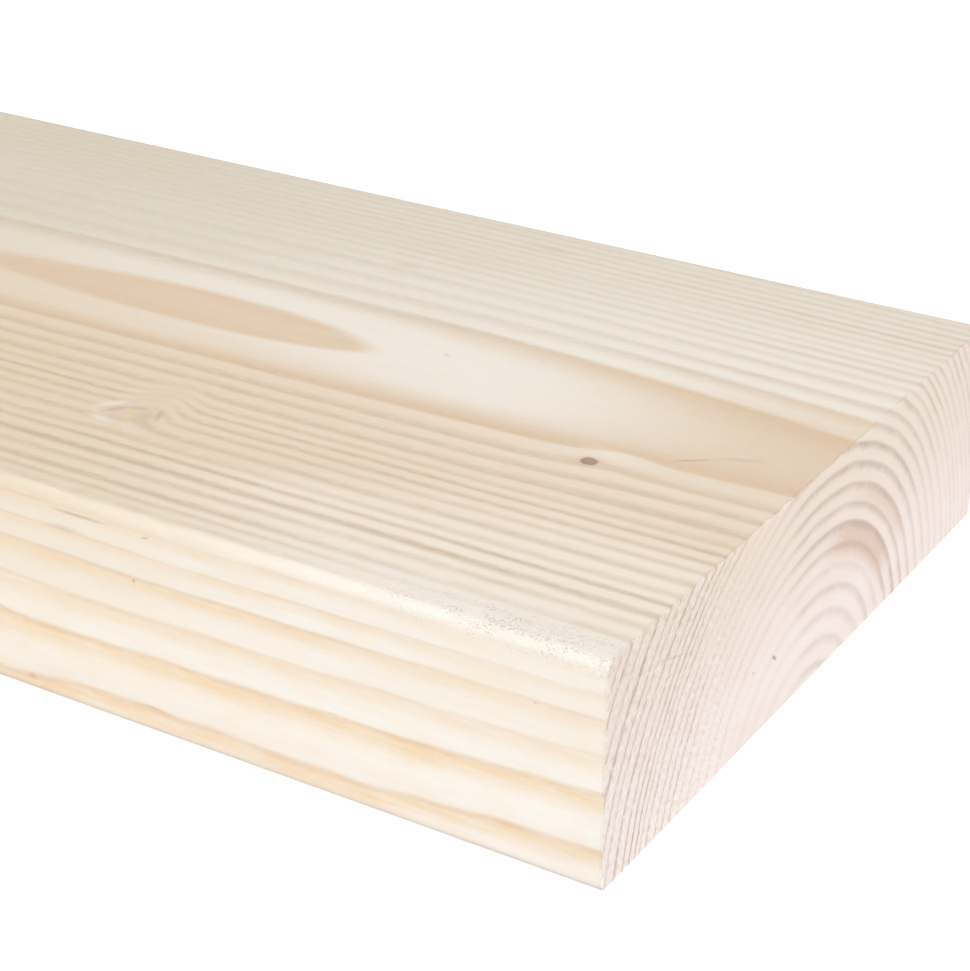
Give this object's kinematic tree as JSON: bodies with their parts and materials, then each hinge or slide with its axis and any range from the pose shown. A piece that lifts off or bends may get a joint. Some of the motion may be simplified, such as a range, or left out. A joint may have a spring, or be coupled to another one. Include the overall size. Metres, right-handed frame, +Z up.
{
  "type": "timber plank",
  "caption": "Straight planed softwood plank of rectangular section with eased long arrises and square sawn ends, for use as a joist, stud, rail or shelf.",
  "frame": {"origin": "centre of the underside", "axes": "+X along the grain, towards the end that the picture shows; +Y across the width, away from the narrow side that the picture shows; +Z up through the thickness"},
  "size_m": [2.4, 0.14, 0.038],
  "materials": {
    "softwood": "planed and unfinished, matt, with sawn ends"
  },
  "bodies": {
    "root": {"plank": "softwood"}
  },
  "joints": []
}
